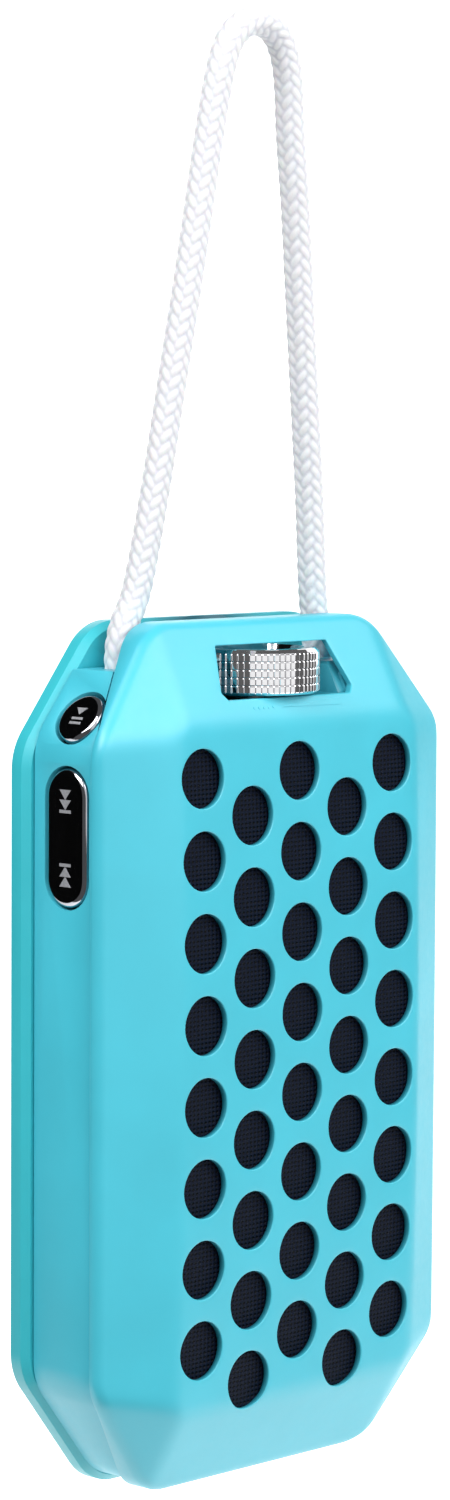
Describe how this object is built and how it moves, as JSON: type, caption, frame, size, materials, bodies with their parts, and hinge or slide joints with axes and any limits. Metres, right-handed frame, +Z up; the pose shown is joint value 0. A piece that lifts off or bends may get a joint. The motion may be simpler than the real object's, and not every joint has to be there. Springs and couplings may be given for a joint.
{
  "type": "portable bluetooth speaker",
  "caption": "Slim portable bluetooth speaker that hangs on a rope loop, with a perforated faceted front, a knurled volume wheel in a window and side buttons.",
  "frame": {"origin": "the inside of the rope loop's apex, where a hook holds the hanging speaker", "axes": "+Z up along the hanging speaker, -Y out of the perforated front, +X towards the side with the sockets"},
  "size_m": [0.0884, 0.0305, 0.2563],
  "materials": {
    "turquoise_plastic": "satin moulded",
    "turquoise_rim": "satin moulded",
    "mesh_black": "fine woven acoustic mesh",
    "chrome": "polished plating",
    "rope_white": "braided cord",
    "dark_plastic": "moulded",
    "paper_cone": "coated paper",
    "rubber": "matte",
    "steel": "plain",
    "copper": "enamelled wire",
    "board_green": "solder mask",
    "battery_foil": "foil pouch"
  },
  "bodies": {
    "root": {"aux_socket": "steel", "back_cover": "turquoise_rim", "back_screw_1": "steel", "back_screw_2": "steel", "back_screw_3": "steel", "back_screw_4": "steel", "baffle": "dark_plastic", "battery": "battery_foil", "button_board": "board_green", "driver_basket_lower": "steel", "driver_basket_upper": "steel", "driver_motor_lower": "steel", "driver_motor_upper": "steel", "driver_surround_lower": "rubber", "driver_surround_upper": "rubber", "front_shell": "turquoise_plastic", "main_board": "board_green", "mid_housing": "turquoise_plastic", "next_switch": "dark_plastic", "play_switch": "dark_plastic", "previous_switch": "dark_plastic", "radio_module": "steel", "rocker_pin": "steel", "rope_ferrule_left": "steel", "rope_ferrule_right": "steel", "rope_handle": "rope_white", "socket_board": "board_green", "speaker_mesh": "mesh_black", "usb_socket": "steel", "volume_board": "board_green", "volume_potentiometer": "dark_plastic"},
    "volume_wheel": {"volume_wheel": "chrome", "wheel_shaft": "steel"},
    "play_button": {"play_button": "chrome"},
    "skip_rocker": {"skip_rocker": "chrome"},
    "cone_upper": {"driver_cone_upper": "paper_cone", "driver_dust_cap_upper": "paper_cone", "driver_voice_coil_upper": "copper"},
    "cone_lower": {"driver_cone_lower": "paper_cone", "driver_dust_cap_lower": "paper_cone", "driver_voice_coil_lower": "copper"}
  },
  "joints": [
    {"name": "volume_turn", "type": "hinge", "parent": "root", "child": "volume_wheel", "pos_m": [0, 0.0001, -0.1093], "axis": [0, 0, 1], "range_deg": [-140, 140]},
    {"name": "play_press", "type": "slide", "parent": "root", "child": "play_button", "axis": [0.7832, 0, -0.6217], "range_m": [0, 0.0006], "stiffness_N_per_m": 1500},
    {"name": "skip_rock", "type": "hinge", "parent": "root", "child": "skip_rocker", "pos_m": [-0.0368, 0.0027, -0.1361], "axis": [0, 1, 0], "range_deg": [-2.5, 2.5], "stiffness_Nm_per_rad": 0.3},
    {"name": "cone_stroke_upper", "type": "slide", "parent": "root", "child": "cone_upper", "axis": [0, -1, 0], "range_m": [-0.001, 0.001], "stiffness_N_per_m": 1000},
    {"name": "cone_stroke_lower", "type": "slide", "parent": "root", "child": "cone_lower", "axis": [0, -1, 0], "range_m": [-0.001, 0.001], "stiffness_N_per_m": 1000}
  ]
}
